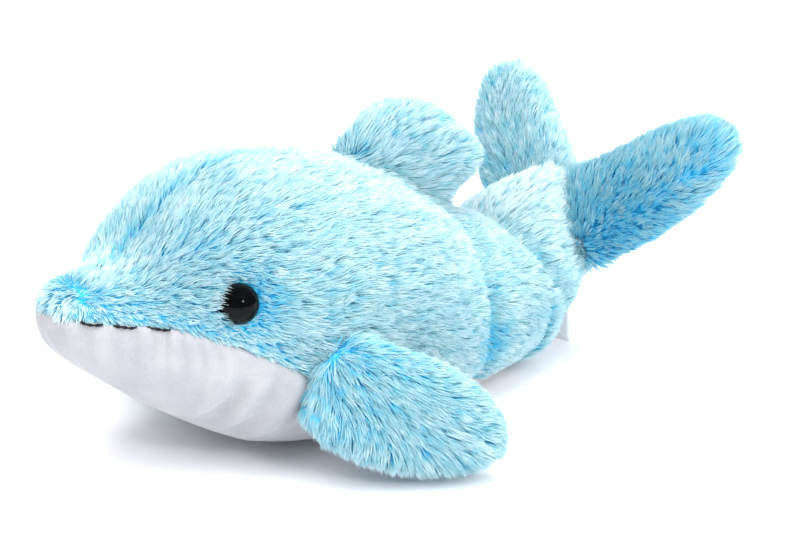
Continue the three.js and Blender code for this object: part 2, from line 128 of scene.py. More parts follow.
def plushPile():
    # Polyester pile, dyed at the root: deep blue between the tufts, frosted tips that glow against light
    look = pileLook
    material, tree, shader, _ = newMaterial("polyester_plush_pile", {
        "Roughness": look["roughness"], "IOR": look["ior"],
    })
    strand = addNode(tree, "ShaderNodeUVMap", {"uv_map": "OFBake"})
    split = addNode(tree, "ShaderNodeSeparateXYZ", {}, {"Vector": strand.outputs["UV"]})
    pale = addNode(tree, "ShaderNodeMath", {"operation": "MULTIPLY_ADD"}, {
        0: split.outputs["X"], 1: look["paleReach"], 2: -look["paleReach"] / 2,
    })
    place = addNode(tree, "ShaderNodeMath", {"operation": "ADD", "use_clamp": True}, {
        0: split.outputs["Y"], 1: pale.outputs["Value"],
    })
    paintedShade = addNode(tree, "ShaderNodeValToRGB", {}, {"Fac": place.outputs["Value"]}, [
        (0.0, look["root"]), (0.2, look["low"]), (0.45, look["middle"]),
        (0.75, look["pale"]), (1.0, look["tip"]),
    ])
    through = addNode(tree, "ShaderNodeBsdfTranslucent", {}, {"Color": paintedShade.outputs["Color"]})
    both = addNode(tree, "ShaderNodeMixShader", {}, {
        0: look["glow"], 1: shader.outputs["BSDF"], 2: through.outputs["BSDF"],
    })
    tree.links.new(paintedShade.outputs["Color"], shader.inputs["Base Color"])
    tree.links.new(both.outputs["Shader"], tree.nodes["Material Output"].inputs["Surface"])
    return material


groundLook = {"deep": "#30c2ea", "light": "#68daf0", "roughness": 0.9, "tuft": 1.6 * mm, "relief": 0.5 * mm}


def plushGround():
    # Knitted polyester ground of the plush: saturated blue, matt, seen only between the strands
    look = groundLook
    material, tree, shader, where = newMaterial("knitted_plush_ground", {"Roughness": look["roughness"]})
    tufts = addNode(tree, "ShaderNodeTexVoronoi", {}, {"Vector": where, "Scale": 1 / look["tuft"]})
    stops = [(0.0, look["light"]), (0.7, look["deep"])]
    dress(tree, shader, tufts.outputs["Distance"], stops, look["relief"])
    return material


velourLook = {
    # painted shade: both colours are grey, darker than the white cloth, for the shade it lies in under the
    # body
    "light": "#a8a8ac", "shade": "#96989e",
    "roughness": 0.85, "sheen": 0.25, "sheenRoughness": 0.4,
    "nap": 0.9 * mm,        # the real nap is about 0.2 mm, drawn coarser so that it shows
    "brushed": 14 * mm,     # patches where the nap lies the other way
    "napShare": 0.5,        # how much the nap shows beside the patches
    "relief": 0.25 * mm,
}


def whiteVelour():
    # Short-nap polyester velour: white cloth painted grey for the shade under the body, brushed patches, a
    # faint bloom at grazing light
    look = velourLook
    material, tree, shader, where = newMaterial("short_nap_velour", {
        "Roughness": look["roughness"],
        "Sheen Weight": look["sheen"], "Sheen Roughness": look["sheenRoughness"],
    })
    patches = grains(tree, where, look["brushed"], detail=3.0)
    nap = grains(tree, where, look["nap"], detail=2.0)
    tone = addNode(tree, "ShaderNodeMath", {"operation": "MULTIPLY_ADD"}, {
        0: nap, 1: look["napShare"], 2: patches,
    })
    dress(tree, shader, tone.outputs["Value"], [(0.45, look["shade"]), (0.95, look["light"])], look["relief"])
    return material


eyeLook = {
    "black": "#040506", "bloom": "#0b0d10", "roughness": 0.05, "ior": 1.49, "specular": 0.1,
    "smear": 5 * mm, "smearRange": (0.35, 0.75),
}


def eyeGloss():
    # Polished moulded acrylic: deep black with a hard highlight and faint handling smears
    look = eyeLook
    material, tree, shader, where = newMaterial("polished_black_acrylic", {
        "IOR": look["ior"], "Specular IOR Level": look["specular"],
    })
    smears = grains(tree, where, look["smear"], detail=4.0)
    low, high = look["smearRange"]
    rough = addNode(tree, "ShaderNodeMapRange", {}, {
        "Value": smears, 1: low, 2: high, 3: look["roughness"], 4: 2 * look["roughness"],
    })
    tree.links.new(rough.outputs["Result"], shader.inputs["Roughness"])
    dress(tree, shader, smears, [(0.4, look["black"]), (0.8, look["bloom"])])
    return material


# painted sheen: the lighter grey stands for the thread's silky sheen
threadLook = {
    "dark": "#08090b", "light": "#22252b", "roughness": 0.55, "fibre": 0.35 * mm, "relief": 0.1 * mm,
}


def cottonThread():
    # Mercerised cotton thread: black, two plies, lighter grey flecks painted on as a slight silky sheen
    look = threadLook
    material, tree, shader, where = newMaterial("black_cotton_thread", {"Roughness": look["roughness"]})
    fibres = grains(tree, where, look["fibre"], detail=2.0)
    dress(tree, shader, fibres, [(0.35, look["dark"]), (0.75, look["light"])], look["relief"])
    return material


ribbonLook = {
    "warp": "#fbfbfc", "weft": "#e9eaee", "roughness": 0.45, "sheen": 0.25,
    "rib": 0.7 * mm, "unevenness": 0.4, "relief": 0.1 * mm,
}
metreWave = math.pi / 10    # the wave texture's scale at which one wave is a metre long


def satinRibbon():
    # Woven polyester satin: white, close ribs across its length, a soft sheen
    look = ribbonLook
    material, tree, shader, where = newMaterial("white_satin_ribbon", {
        "Roughness": look["roughness"], "Sheen Weight": look["sheen"],
    })
    ribs = addNode(tree, "ShaderNodeTexWave", {"bands_direction": "X"}, {
        "Vector": where, "Scale": metreWave / look["rib"], "Distortion": look["unevenness"],
    })
    dress(tree, shader, ribs.outputs["Fac"], [(0.2, look["weft"]), (0.8, look["warp"])], look["relief"])
    return material


washerLook = {"light": "#f2f1ec", "dark": "#dddbd2", "roughness": 0.45, "ior": 1.5, "flow": 3 * mm}


def naturalPolypropylene():
    # Moulded natural polypropylene: milky white with faint flow marks
    look = washerLook
    material, tree, shader, where = newMaterial("natural_polypropylene", {
        "Roughness": look["roughness"], "IOR": look["ior"],
    })
    marks = grains(tree, where, look["flow"], detail=2.0)
    dress(tree, shader, marks, [(0.3, look["dark"]), (0.7, look["light"])])
    return material


pileFinish = plushPile()
groundFinish = plushGround()
velourFinish = whiteVelour()
eyeFinish = eyeGloss()
threadFinish = cottonThread()
ribbonFinish = satinRibbon()
washerFinish = naturalPolypropylene()
print("materials made")


# Meshes

def copyOf(*nodes):
    bm = bmesh.new()
    for node in nodes:
        bm.from_mesh(frame["nodes"][node].data)
    bmesh.ops.remove_doubles(bm, verts=bm.verts, dist=weld)
    return bm


def addPiece(name, mesh, finish, flat=False):
    # Strands are shaded flat, because smooth normals on three sides make them block their own light
    mesh.materials.clear()
    mesh.materials.append(finish)
    if flat:
        mesh.shade_flat()
    else:
        mesh.shade_smooth()
    piece = bpy.data.objects.new(name, mesh)
    bpy.context.scene.collection.objects.link(piece)
    return piece


def makePiece(name, bm, finish):
    mesh = bpy.data.meshes.new(name)
    bm.to_mesh(mesh)
    bm.free()
    return addPiece(name, mesh, finish)


def settle(piece):
    # Applies the piece's modifiers to its mesh
    ready = piece.evaluated_get(bpy.context.evaluated_depsgraph_get())
    mesh = bpy.data.meshes.new_from_object(ready)
    piece.modifiers.clear()
    piece.data = mesh
    mesh.shade_smooth()


def remesh(piece, voxel):
    modifier = piece.modifiers.new("even", "REMESH")
    modifier.mode = "VOXEL"
    modifier.voxel_size = voxel
    settle(piece)


def smooth(piece, rounds, factors):
    bm = bmesh.new()
    bm.from_mesh(piece.data)
    for turn in range(rounds):
        for factor in factors:
            bmesh.ops.smooth_vert(
                bm, verts=bm.verts, factor=factor, use_axis_x=True, use_axis_y=True, use_axis_z=True,
            )
    bm.to_mesh(piece.data)
    bm.free()


def pointsOf(mesh):
    places = np.empty(len(mesh.vertices) * 3, np.float32)
    mesh.vertices.foreach_get("co", places)
    normals = np.empty(len(mesh.vertices) * 3, np.float32)
    mesh.vertices.foreach_get("normal", normals)
    return places.reshape(-1, 3).astype(float), normals.reshape(-1, 3).astype(float)


def setPoints(mesh, places):
    mesh.vertices.foreach_set("co", places.astype(np.float32).ravel())
    mesh.update()


def push(piece, amounts):
    # Moves points along their normals, and lifts those that would lie below the floor
    places, normals = pointsOf(piece.data)
    places += normals * np.broadcast_to(amounts, len(places))[:, None]
    places[:, 2] = np.maximum(places[:, 2], 0)
    setPoints(piece.data, places)


def lengthsOf(vectors):
    return np.linalg.norm(vectors, axis=1)


def unit(vectors):
    return vectors / np.maximum(np.linalg.norm(vectors, axis=-1, keepdims=True), 1e-9)


def ramp(value, low, high):
    # 0 below low, 1 above high, and smooth between them
    share = np.clip((value - low) / (high - low), 0, 1)
    return share * share * (3 - 2 * share)


def nodeTree(*nodes):
    bm = copyOf(*nodes)
    tree = BVHTree.FromBMesh(bm)
    bm.free()
    return tree


def treeOf(mesh):
    return BVHTree.FromPolygons([v.co for v in mesh.vertices], [list(f.vertices) for f in mesh.polygons])


def distances(tree, points, limit=1.0):
    found = (tree.find_nearest(Vector(point), limit)[3] for point in points)
    return np.array([limit if distance is None else distance for distance in found])


def swirl(points, size):
    # Smooth noise of about -1 to 1, with waves of a size
    return np.array([noise.noise(Vector(point) / size) for point in points])


# Stuffed forms under the pile: the stuffing's solids, evened out, smoothed and swelled to the cloth

form = {
    "voxel": 3 * mm,
    "rounds": 10,
    "factors": (0.5, -0.52),    # the second pass gives back the size that the first takes
    "swell": 1.5 * mm,
    "tuck": -2 * mm,            # the pile's ground dips under the belly, and the belly under the ground
    "tuckRun": (-1 * mm, 1.5 * mm),     # from here to here past the belly's seam
    "fill": 0.8,
}
furBodies = ["body", "tail", "dorsal_fin"]
furBodies += [f"{side}_{limb}" for limb in ("flipper", "fluke") for side, sign in sides]
covers = {
    "body": ("left_side_cover", "right_side_cover"),
    "tail": ("tail_left_cover", "tail_right_cover"),
    "dorsal_fin": ("dorsal_fin_left_cover", "dorsal_fin_right_cover"),
}
for side, sign in sides:
    for limb in ("flipper", "fluke"):
        covers[f"{side}_{limb}"] = (f"{side}_{limb}_top_cover", f"{side}_{limb}_bottom_cover")
sideTree = nodeTree(*covers["body"])
bellyTree = nodeTree("belly_cover")


def pastSeam(points):
    # How far a point is past the belly's seam: above 0 on the belly, below 0 on the pile
    return distances(sideTree, points) - distances(bellyTree, points)


# Creases round the body's end and the tail's root, each in a plane: a point on it, its axis, depth and width,
# and the share of its depth that is left on top
creases = {
    "body": {
        "point": (0.0, 0.0285, 0.03), "axis": (0.0, 1.0, 0.0),
        "deep": 2.2 * mm, "wide": 5 * mm, "top": 0.15,
    },
    "tail": {
        "point": (0.0, 0.0740, 0.0390), "axis": (0.0, 0.90, 0.44),
        "deep": 1.5 * mm, "wide": 5 * mm, "top": 0.9,
    },
}
creaseRun = {
    "wander": 3 * mm, "wanderLength": 30 * mm,
    "topHeight": (0.045, 0.075),    # heights between which a crease loses its depth
}


def inCrease(body, places):
    # 1 along the middle of the crease, falling to 0 beside it
    crease = creases[body]
    along = (places - np.array(crease["point"])) @ unit(np.array(crease["axis"]))
    along += creaseRun["wander"] * swirl(places, creaseRun["wanderLength"])
    strength = 1 - (1 - crease["top"]) * ramp(places[:, 2], *creaseRun["topHeight"])
    return np.exp(-(along / crease["wide"]) ** 2) * strength


# Limbs sewn on: the form that carries a limb, the limb's direction, how far from its joint the carrier draws
# its root, and how much longer than its solid the limb's cloth is
sewing = {
    "dorsal_fin": {"carrier": "body", "along": (0.0, 0.588, 0.809), "within": (0.05, 0.06), "longer": 0.07},
}
for side, sign in sides:
    sewing[f"{side}_flipper"] = {
        "carrier": "body", "along": (sign * 0.5, 0.6, -0.62), "within": (0.026, 0.036), "longer": 0.05,
    }
    sewing[f"{side}_fluke"] = {
        "carrier": "tail", "along": (sign * 0.73, 0.35, 0.58), "within": (0.03, 0.04), "longer": 0.05,
    }
limbJoints = {
    body: joint["pos_m"] for body in sewing for joint in frame["joints"] if joint["name"].startswith(body)
}
sewn = {
    "near": 3 * mm, "far": 17 * mm,     # the carrier's surface draws less from near to far
    "depth": 2 * mm, "rounds": 2,
    "bend": (-3 * mm, 11 * mm),         # along the limb, from following the carrier to following the limb
    "stretch": (0.015, 0.05),           # from the joint, the cloth grows longer from here to here
    "floorGap": 1 * mm,
}


# The body's end over the tail's root: the stretch that is drawn out, how far on top and how much more below,
# how much it narrows, and where it stops following the body and starts following the tail
sleeve = {
    "run": (0.030, 0.0515), "back": 11 * mm, "lowBack": 9 * mm, "height": (0.042, 0.060), "narrow": 0.06,
    "bend": (Vector((0.0, 0.040, 0.032)), Vector((0.0, 0.063, 0.032))),
    "inside": 38 * mm,      # nearer to the tail's joint, cloth that faces the joint carries no pile
}


def sewOn(piece, body):
    # Stretches the limb's cloth outwards, and draws its root to the carrier's surface and a little into it
    joint, middle = sewing[body], np.array(limbJoints[body])
    tree = treeOf(grounds[joint["carrier"]].data)
    places, _ = pointsOf(piece.data)
    reach = places - middle
    places += joint["longer"] * reach * ramp(lengthsOf(reach), *sewn["stretch"])[:, None]
    places[:, 2] = np.maximum(places[:, 2], sewn["floorGap"])
    inside = 1 - ramp(lengthsOf(places - middle), *joint["within"])
    for index in np.flatnonzero(inside > 0):
        spot, outward, face, distance = tree.find_nearest(Vector(places[index]))
        pull = inside[index] * (1 - ramp(distance, sewn["near"], sewn["far"]))
        places[index] += pull * (np.array(spot - outward * sewn["depth"]) - places[index])
    setPoints(piece.data, places)
    smooth(piece, sewn["rounds"], form["factors"])


def carry(piece, body):
    # Tells which body a piece follows; pieces over the tail's root and on sewn limbs stay unattached, in
    # place
    if body == "body" and max(corner[1] for corner in piece.bound_box) > sleeve["bend"][0].y:
        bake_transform(piece)
        return
    if body not in sewing:
        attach(piece, body)
        return
    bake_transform(piece)


def drawSleeve(piece):
    # The body's cloth runs on over the tail's root, to the crease where the tail comes out
    places, _ = pointsOf(piece.data)
    share = ramp(places[:, 1], *sleeve["run"])
    lower = 1 - ramp(places[:, 2], *sleeve["height"])
    middle = np.array(joints["tail_bend"]["pos_m"])
    places[:, 0] *= 1 - sleeve["narrow"] * share
    places[:, 2] = middle[2] + (places[:, 2] - middle[2]) * (1 - sleeve["narrow"] * share)
    places[:, 1] += share * (sleeve["back"] + sleeve["lowBack"] * lower)
    setPoints(piece.data, places)


def makeForm(body):
    piece = makePiece(f"{body}_plush_ground", copyOf(f"{body}_stuffing"), groundFinish)
    remesh(piece, form["voxel"])
    smooth(piece, form["rounds"], form["factors"])
    if body == "body":
        drawSleeve(piece)
    return piece


def wrapGround(piece, body):
    swell = form["swell"]
    if body == "body":
        places, _ = pointsOf(piece.data)
        swell = swell + (form["tuck"] - swell) * ramp(pastSeam(places), *form["tuckRun"])
    push(piece, swell)
    if body in creases:
        push(piece, -creases[body]["deep"] * inCrease(body, pointsOf(piece.data)[0]))
    if body in sewing:
        sewOn(piece, body)
    carry(piece, body)
    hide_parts(f"{body}_stuffing", *covers[body])


grounds = {body: makeForm(body) for body in furBodies}
bellyMesh = grounds["body"].data.copy()
for body, piece in grounds.items():
    wrapGround(piece, body)
print("stuffed forms made")


# Belly: short-nap cloth over the same form, gathered at its seam, with two folds on each side of the throat

belly = {
    "swell": 2.7 * mm, "swellRun": (-3 * mm, 1 * mm),
    "gather": 0.7 * mm, "gatherPitch": 8 * mm, "gatherReach": 14 * mm, "gatherStart": 3 * mm,
    "gatherWander": 3, "wanderLength": 18 * mm,
    "throat": (0.0, -0.09, 0.0), "fanRadius": 50 * mm,      # the gathers fan out from the throat
    "foldDepth": 4.6 * mm, "foldWidth": 3.6 * mm, "foldSteps": 60,
    "foldSwell": 2 * mm, "swellAway": 2.3,      # the swell beside a fold, and how many widths away it lies
    "sag": 0.5 * mm, "sagLength": 24 * mm, "shown": 4 * mm,
    "fill": 0.7,
}
bellyFolds = [      # two long folds from the flipper down to the chest, in mm on the left side
    [(46.5, -86.5, 55), (45.6, -87, 44.3), (40.1, -91.4, 34.8), (32.6, -94.2, 28), (24, -96, 23.5)],
    [(48.6, -79.5, 51), (48.1, -77.9, 39.2), (41.8, -82.5, 27.8), (33.8, -84.9, 21.5), (25, -86.5, 17)],
]


def alongLine(at, run, line):
    # Places on a line of points, whose own places along it are in run
    return np.stack([np.interp(at, run, line[:, axis]) for axis in range(3)], 1)


def foldRelief(places, corners):
    # A groove along the fold with a soft swell on both sides, fading out at its ends
    corners = np.array(corners) * mm
    steps = np.linspace(0, len(corners) - 1, belly["foldSteps"])
    line = alongLine(steps, np.arange(len(corners)), corners)
    away = np.linalg.norm(places[:, None] - line[None], axis=2)
    nearest, width = away.min(1), belly["foldWidth"]
    ends = np.sin(math.pi * (away.argmin(1) + 0.5) / len(steps))
    groove = -belly["foldDepth"] * np.exp(-(nearest / width) ** 2)
    swell = belly["foldSwell"] * np.exp(-((nearest - belly["swellAway"] * width) / width) ** 2)
    return (groove + swell) * ends


def makeBelly():
    piece = addPiece("belly_nap", bellyMesh, velourFinish)
    finer = piece.modifiers.new("finer", "SUBSURF")
    finer.levels = finer.render_levels = 1
    settle(piece)
    places, _ = pointsOf(piece.data)
    past = pastSeam(places)
    swell = form["tuck"] + (belly["swell"] - form["tuck"]) * ramp(past, *belly["swellRun"])
    fan = places - np.array(belly["throat"])
    run = np.arctan2(fan[:, 0], -fan[:, 1]) * belly["fanRadius"]
    wander = belly["gatherWander"] * swirl(places, belly["wanderLength"])
    crease = np.sin(2 * math.pi * run / belly["gatherPitch"] + wander)
    fade = np.exp(-np.maximum(past, 0) / belly["gatherReach"]) * ramp(past, 0, belly["gatherStart"])
    swell += belly["gather"] * crease * fade
    shown = ramp(past, 0, belly["shown"])
    swell += belly["sag"] * swirl(places, belly["sagLength"]) * shown
    for corners in bellyFolds:
        for side, sign in sides:
            swell += foldRelief(places * (sign, 1, 1), corners) * shown
    push(piece, swell)
    carry(piece, "body")
    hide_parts("belly_cover")


makeBelly()
print("belly made")


# Pile: one tapered strand, planted all over the forms, combed and gathered into tufts

fur = {
    "perSquareMm": 3.7,
    "mostInPiece": 32000,
    "radius": 0.17 * mm, "radiusSpread": (0.75, 1.25),
    "length": 8.6 * mm, "lengthSpread": (0.7, 1.2),
    "tuftSpacing": 1.9 * mm, "tuftSpread": (0.85, 1.15),
    "tuftPull": 0.5, "pullSpread": (0.5, 1.1),
    "stationPull": ((1, 0.4), (2, 1.0)),    # the share of the pull at a strand's middle and at its tip
    "apart": 0.25,          # the share of the distance between roots that is left at a tuft's tips
    "rootLift": 0.85, "tipLift": 0.3,       # how much a strand stands up at its root and at its tip
    "crowd": 12 * mm,       # strands this near another form stand up against it, longer by a share
    "crowdLift": 0.3, "crowdLength": 0.6,
    "edgeLift": -0.6,       # on limbs, strands at the leading edge lie flat
    "droop": 0.1,
    "wave": 22 * mm,        # length of the waves in the combing
    "waveTurn": 0.5,
    "tuftTurn": 0.2,
    "strandTurn": 0.2,
    "tuftPale": 0.13, "strandPale": 0.07,
    # painted shade: strands in the creases are drawn this much bluer
    "creaseShade": 0.12,
    "floorGap": 0.25 * mm,
    "bodyGap": 0.3 * mm,    # no strand is planted closer than this to another form
    "seamGap": 0.3 * mm,
    "seed": 5,
}
# painted shade: the strands along the forehead's seam are drawn bluer, for the shade in its parting
forehead = {                # the seam over the forehead parts the pile to both sides
    "half": (0.5 * mm, 5 * mm), "end": (-0.06, -0.04), "turn": 0.3, "paintedShade": 0.2,
}
beakPile = {                # shorter towards the tip, lying flat, but standing up at the parting
    "run": (-0.135, -0.085), "length": 0.85,
    "flatRun": (-0.125, -0.1), "flat": -0.1,
    "partingReach": 7 * mm, "partingLift": 0.5,
}
seamPile = {"length": 0.55, "reach": 14 * mm}       # shorter along the belly's seam
flukePile = {"longer": 0.45, "run": (0.045, 0.075)}
eyePile = {                 # distances from the eye's middle, and behind it where they are signed
    "gap": 7.7 * mm,
    # painted shade: a bluer pocket this far behind each eye's middle, fading over its reach
    "paintedShading": 7 * mm, "paintedShadeReach": (4 * mm, 14 * mm), "paintedShade": 0.35,
    "shortRun": (-7 * mm, 0.0), "shortReach": (8 * mm, 17 * mm), "shorter": 0.5,
    "lashRun": (-6 * mm, -1 * mm), "lashReach": (9 * mm, 13 * mm), "lashLift": 0.9,
}
rng = np.random.default_rng(fur["seed"])


def makeStrand():
    # A three-sided spindle, 1 long, thickest at its middle
    half, join = 0.5, 1e-4
    bm = bmesh.new()
    bmesh.ops.create_cone(bm, cap_ends=False, segments=3, radius1=1, radius2=0, depth=half)
    bmesh.ops.translate(bm, verts=bm.verts, vec=(0, 0, half / 2))
    bmesh.ops.mirror(bm, geom=bm.verts[:] + bm.edges[:] + bm.faces[:], axis="Z", merge_dist=join)
    bmesh.ops.translate(bm, verts=bm.verts, vec=(0, 0, half))
    bmesh.ops.remove_doubles(bm, verts=bm.verts, dist=join)
    bmesh.ops.triangulate(bm, faces=bm.faces)
    bmesh.ops.recalc_face_normals(bm, faces=bm.faces)
    bm.verts.index_update()
    points = np.array([vert.co for vert in bm.verts])
    faces = np.array([[vert.index for vert in face.verts] for face in bm.faces])
    bm.free()
    return points, faces


strandPoints, strandFaces = makeStrand()
strandShare = strandPoints[:, 2]
strandStation = np.rint(strandShare * 2).astype(int)
strandAcross = strandPoints[:, :2]
strandSide = (0.31, 0.22, 0.92)     # the spindles are turned about their length by this direction
strandChart = {"width": 0.004, "edge": 0.005, "start": 0.01, "height": 0.98}


def strandMesh(name, paths, radii, pale):
    # Spindles along the paths. Their chart holds each strand's paleness across and its length upwards.
    along = unit(paths[:, 2] - paths[:, 0])
    aside = unit(np.cross(along, np.array(strandSide)))
    across = np.cross(along, aside)
    ring = strandAcross[None, :, 0, None] * aside[:, None]
    ring = ring + strandAcross[None, :, 1, None] * across[:, None]
    points = paths[:, strandStation] + radii[:, None, None] * ring
    points[..., 2] = np.maximum(points[..., 2], fur["floorGap"])
    faces = strandFaces[None] + len(strandPoints) * np.arange(len(paths))[:, None, None]
    mesh = bpy.data.meshes.new(name)
    mesh.vertices.add(points.size // 3)
    mesh.vertices.foreach_set("co", points.astype(np.float32).ravel())
    mesh.loops.add(faces.size)
    mesh.loops.foreach_set("vertex_index", faces.astype(np.int32).ravel())
    mesh.polygons.add(faces.size // 3)
    mesh.polygons.foreach_set("loop_start", np.arange(0, faces.size, 3, dtype=np.int32))
    mesh.update(calc_edges=True)
    chart, edge = strandChart, strandChart["edge"]
    spread = np.clip(pale[:, None] + chart["width"] * strandAcross[None, :, 0], edge, 1 - edge)
    height = strandShare * chart["height"] + chart["start"]
    places = np.stack([spread, np.broadcast_to(height, spread.shape)], -1)
    layer = mesh.uv_layers.new(name="OFBake")
    layer.uv.foreach_set("vector", places.reshape(-1, 2)[faces.ravel()].astype(np.float32).ravel())
    return mesh


def scatter(piece, perSquareMm):
    # Points and normals at random, spread evenly over the piece's surface
    mesh = piece.data
    mesh.calc_loop_triangles()
    corners = np.empty(len(mesh.loop_triangles) * 3, np.int32)
    mesh.loop_triangles.foreach_get("vertices", corners)
    places, normals = (values[corners.reshape(-1, 3)] for values in pointsOf(mesh))
    areas = lengthsOf(np.cross(places[:, 1] - places[:, 0], places[:, 2] - places[:, 0])) / 2
    count = int(areas.sum() / mm ** 2 * perSquareMm)
    chosen = rng.choice(len(areas), count, p=areas / areas.sum())
    weights = rng.dirichlet((1, 1, 1), count)[:, :, None]
    return (places[chosen] * weights).sum(1), unit((normals[chosen] * weights).sum(1))


# Which way the pile is combed: away from a parting, with a share of the course near it and far from it.
# Painted shading: a place, how far it reaches, and how much bluer the strands are there, or paler below 0.
combing = {
    "body": {
        "parting": ((-0.009, -0.132, 0.079), (0.009, -0.132, 0.079)), "course": (0.0, 1.0, -0.12),
        "share": (0.0, 0.7), "reach": (0.02, 0.09),
        # paler on the nose tip, and a painted highlight: the lit top of the back is drawn paler
        "paintedShading": [((0.0, -0.141, 0.075), 0.034, -0.28), ((0.0, -0.01, 0.112), 0.085, -0.1)],
    },
    "tail": {
        "parting": ((0.0, 0.02, 0.03), (0.0, 0.02, 0.03)), "course": (0.0, 1.0, 0.35),
        # painted highlight: the lit top of the tail is drawn paler
        "share": (0.0, 0.7), "reach": (0.02, 0.05), "paintedShading": [((0.0, 0.08, 0.07), 0.06, -0.22)],
    },
    "dorsal_fin": {
        "parting": ((0.0, -0.035, 0.076), (0.0, -0.035, 0.076)), "course": (0.0, 0.9, 0.2),
        "share": (0.2, 0.5), "reach": (0.03, 0.09), "paintedShading": [],
    },
}
for side, sign in sides:
    # painted shade: bluer in the beak's parting and in the crease at the body's end
    combing["body"]["paintedShading"] += [
        ((sign * 0.009, -0.131, 0.079), 0.012, 0.2), ((sign * 0.0445, 0.0285, 0.029), 0.018, 0.4),
    ]
    combing[f"{side}_flipper"] = {
        "parting": ((sign * 0.045, -0.082, 0.075), (sign * 0.089, -0.039, 0.028)),
        "course": (sign * 0.5, 0.6, -0.62), "share": (0.9, 0.5), "reach": (0.006, 0.018),
        # painted shade: the flipper is drawn bluer, most at its lower middle, for the shade there
        "paintedShading": [((sign * 0.07, -0.058, 0.035), 0.06, 0.16)],
    }
    combing[f"{side}_fluke"] = {
        "parting": ((sign * 0.002, 0.096, 0.034), (sign * 0.066, 0.123, 0.087)),
        "course": (sign * 0.73, 0.35, 0.58), "share": (0.8, 0.55), "reach": (0.006, 0.02),
        # painted shade: the flukes are bluer at their roots, where the tail shades them, and bluer at their
        # tips
        "paintedShading": [((sign * 0.034, 0.101, 0.056), 0.042, 0.24), ((sign * 0.069, 0.122, 0.092), 0.026, 0.14)],
    }
# painted shade: the left fluke, turned from the light, is drawn bluer than the right one
combing["left_fluke"]["paintedShading"].append(((0.05, 0.11, 0.075), 0.12, 0.2))     # bluer than the right one
eyeMiddles = [np.array(sum(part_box(f"{side}_eye"), Vector()) / 2) for side, sign in sides]


def foreheadPart(points):
    # 1 on the forehead's seam, falling to 0 beside it and on the back
    return (1 - ramp(np.abs(points[:, 0]), *forehead["half"])) * (1 - ramp(points[:, 1], *forehead["end"]))


def fromParting(body, points):
    start, end = (np.array(place) for place in combing[body]["parting"])
    run = end - start
    along = np.clip((points - start) @ run / max(run @ run, 1e-9), 0, 1)
    return points - start - along[:, None] * run


def combed(body, spots):
    # Which way the pile lies at each spot, along the surface
    way, points, normals = combing[body], spots["points"], spots["normals"]
    away = fromParting(body, points)
    near, far = way["share"]
    share = near + (far - near) * ramp(lengthsOf(away), *way["reach"])
    flow = unit(away) * (1 - share[:, None]) + unit(np.array(way["course"])) * share[:, None]
    if body == "body":
        flow[:, 0] += forehead["turn"] * foreheadPart(points) * np.sign(points[:, 0])
    flow -= normals * (flow * normals).sum(1, keepdims=True)
    return unit(flow)


def paintedShadingDepth(body, points):
    # Painted shading: bluer behind the eyes, along the forehead's seam and in creases; bluer or paler at
    # spots
    depth = np.zeros(len(points))
    for place, reach, amount in combing[body]["paintedShading"]:
        depth += amount * (1 - ramp(lengthsOf(points - np.array(place)), 0, reach))
    if body == "body":
        depth += forehead["paintedShade"] * foreheadPart(points)
        for middle in eyeMiddles:
            behind = lengthsOf(points - middle - np.array([0, eyePile["paintedShading"], 0]))
            depth += eyePile["paintedShade"] * (1 - ramp(behind, *eyePile["paintedShadeReach"]))
    if body in creases:
        depth += fur["creaseShade"] * inCrease(body, points)
    return depth


formTrees = {body: treeOf(grounds[body].data) for body in furBodies}


def roomTo(other, points):
    # How far points are outside another form, up to the crowd's reach
    places, _ = pointsOf(grounds[other].data)
    near = ((points > places.min(0) - fur["crowd"]) & (points < places.max(0) + fur["crowd"])).all(1)
    room = np.full(len(points), fur["crowd"])
    for index in np.flatnonzero(near):
        point = Vector(points[index])
        spot, outward, face, distance = formTrees[other].find_nearest(point, fur["crowd"])
        if spot:
            room[index] = math.copysign(distance, (point - spot).dot(outward))
    return room


def survey(body, points, normals):
    # What the combing asks of each point: the room beside other forms, how much a limb crowds it, and the way
    # past the belly's seam
    rooms = {other: roomTo(other, points) for other in furBodies if other != body}
    limbRoom = np.min([rooms[other] for other in rooms if {body, other} != {"body", "tail"}], axis=0)
    return {
        "points": points, "normals": normals,
        "room": np.min(list(rooms.values()), axis=0),
        "crowd": 1 - np.clip(limbRoom, 0, fur["crowd"]) / fur["crowd"],
        "past": pastSeam(points) if body == "body" else np.full(len(points), -1.0),
    }


def plantable(body, spots):
    # Keeps strands off other forms, the belly, the eyes and the inside of the sleeve
    points = spots["points"]
    kept = (spots["room"] > fur["bodyGap"]) & (spots["past"] < -fur["seamGap"])
    if body == "body":
        fromPivot = points - np.array(joints["tail_bend"]["pos_m"])
        kept &= (lengthsOf(fromPivot) > sleeve["inside"]) | ((spots["normals"] * fromPivot).sum(1) > 0)
        for middle in eyeMiddles:
            kept &= lengthsOf(points - middle) > eyePile["gap"]
    return kept


def pileLength(body, spots):
    # Shorter on the beak, along the mouth and behind the eyes, longest where a limb is sewn on and on the
    # tips of the flukes
    points = spots["points"]
    lengths = fur["length"] * (1 + fur["crowdLength"] * spots["crowd"])
    if body == "body":
        tip, seam = beakPile["length"], seamPile["length"]
        lengths *= tip + (1 - tip) * ramp(points[:, 1], *beakPile["run"])
        lengths *= seam + (1 - seam) * ramp(-spots["past"], 0, seamPile["reach"])
        for middle in eyeMiddles:
            behind = ramp(points[:, 1] - middle[1], *eyePile["shortRun"])
            near = 1 - ramp(lengthsOf(points - middle), *eyePile["shortReach"])
            lengths *= 1 - eyePile["shorter"] * near * behind
    if body.endswith("fluke"):
        out = lengthsOf(points - np.array(limbJoints[body]))
        lengths *= 1 + flukePile["longer"] * ramp(out, *flukePile["run"])
    return lengths


